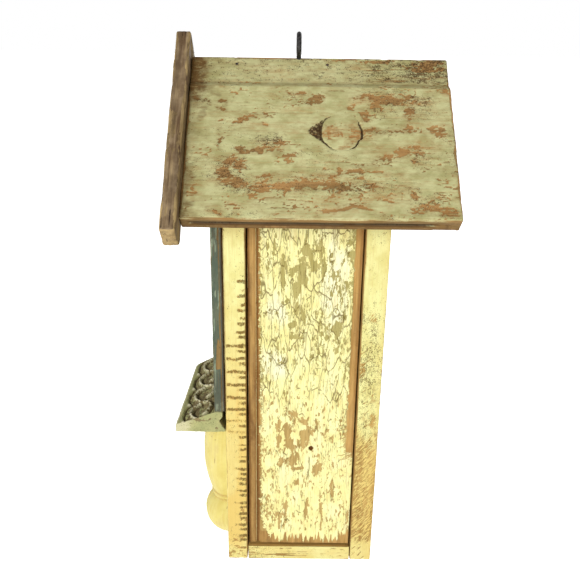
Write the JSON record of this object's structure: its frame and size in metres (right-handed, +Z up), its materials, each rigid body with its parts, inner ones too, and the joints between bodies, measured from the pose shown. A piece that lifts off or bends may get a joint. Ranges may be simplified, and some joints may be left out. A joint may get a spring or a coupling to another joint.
{
  "type": "hanging birdhouse",
  "caption": "Tall gable-roofed hanging nest box of reclaimed painted boards, with a hinged clean-out side, a carved entrance ledge and a half-round turned bracket.",
  "frame": {"origin": "centre of the box's underside, on the floor board's lower face", "axes": "+Z up to the screw eye, -Y towards the front with the entrance hole and the ledge, +X towards the clean-out door"},
  "size_m": [0.2606, 0.2285, 0.4941],
  "materials": {
    "yellow_paint": "worn pale yellow paint over sawn softwood",
    "crackled_paint": "crackled and flaking pale yellow paint over brown wood",
    "sage_paint": "worn sage green paint over orange-brown wood",
    "stained_wood": "old dark brown stain, scuffed",
    "blue_green_paint": "weathered blue-green paint",
    "carved_green_paint": "pale green paint, brown dirt in the carving",
    "cream_paint": "smooth cream yellow paint",
    "black_iron": "blackened iron wire",
    "nail_steel": "dull oxidised nail steel"
  },
  "bodies": {
    "house": {"front_board": "yellow_paint", "back_board": "yellow_paint", "floor_board": "yellow_paint", "side_panel": "crackled_paint", "roof_panel_right": "sage_paint", "roof_panel_left": "sage_paint", "bargeboard_right": "stained_wood", "bargeboard_left": "stained_wood", "front_face_panel": "blue_green_paint", "carved_ledge": "carved_green_paint", "split_baluster": "cream_paint", "screw_eye": "black_iron", "door_pivot_nail_front": "nail_steel", "door_pivot_nail_back": "nail_steel", "ridge_nail_front": "nail_steel", "ridge_nail_middle": "nail_steel", "roof_nail_right_front": "nail_steel", "roof_nail_right_back": "nail_steel", "roof_nail_left_front": "nail_steel", "roof_nail_left_back": "nail_steel", "barge_nail_right_top": "nail_steel", "barge_nail_right_bottom": "nail_steel", "barge_nail_left_top": "nail_steel", "barge_nail_left_bottom": "nail_steel", "floor_nail_front_right": "nail_steel", "floor_nail_front_left": "nail_steel", "floor_nail_back_right": "nail_steel", "floor_nail_back_left": "nail_steel", "side_nail_front_top": "nail_steel", "side_nail_front_bottom": "nail_steel", "side_nail_back_top": "nail_steel", "side_nail_back_bottom": "nail_steel", "ledge_nail_right": "nail_steel", "ledge_nail_left": "nail_steel", "baluster_nail_top": "nail_steel", "baluster_nail_bottom": "nail_steel", "face_brad_right_top": "nail_steel", "face_brad_right_bottom": "nail_steel", "face_brad_left_top": "nail_steel", "face_brad_left_bottom": "nail_steel"},
    "door": {"side_door": "crackled_paint"}
  },
  "joints": [
    {"name": "door_hinge", "type": "hinge", "parent": "house", "child": "door", "pos_m": [0.05525, 0, 0.345], "axis": [0, -1, 0], "range_deg": [0, 75]}
  ]
}
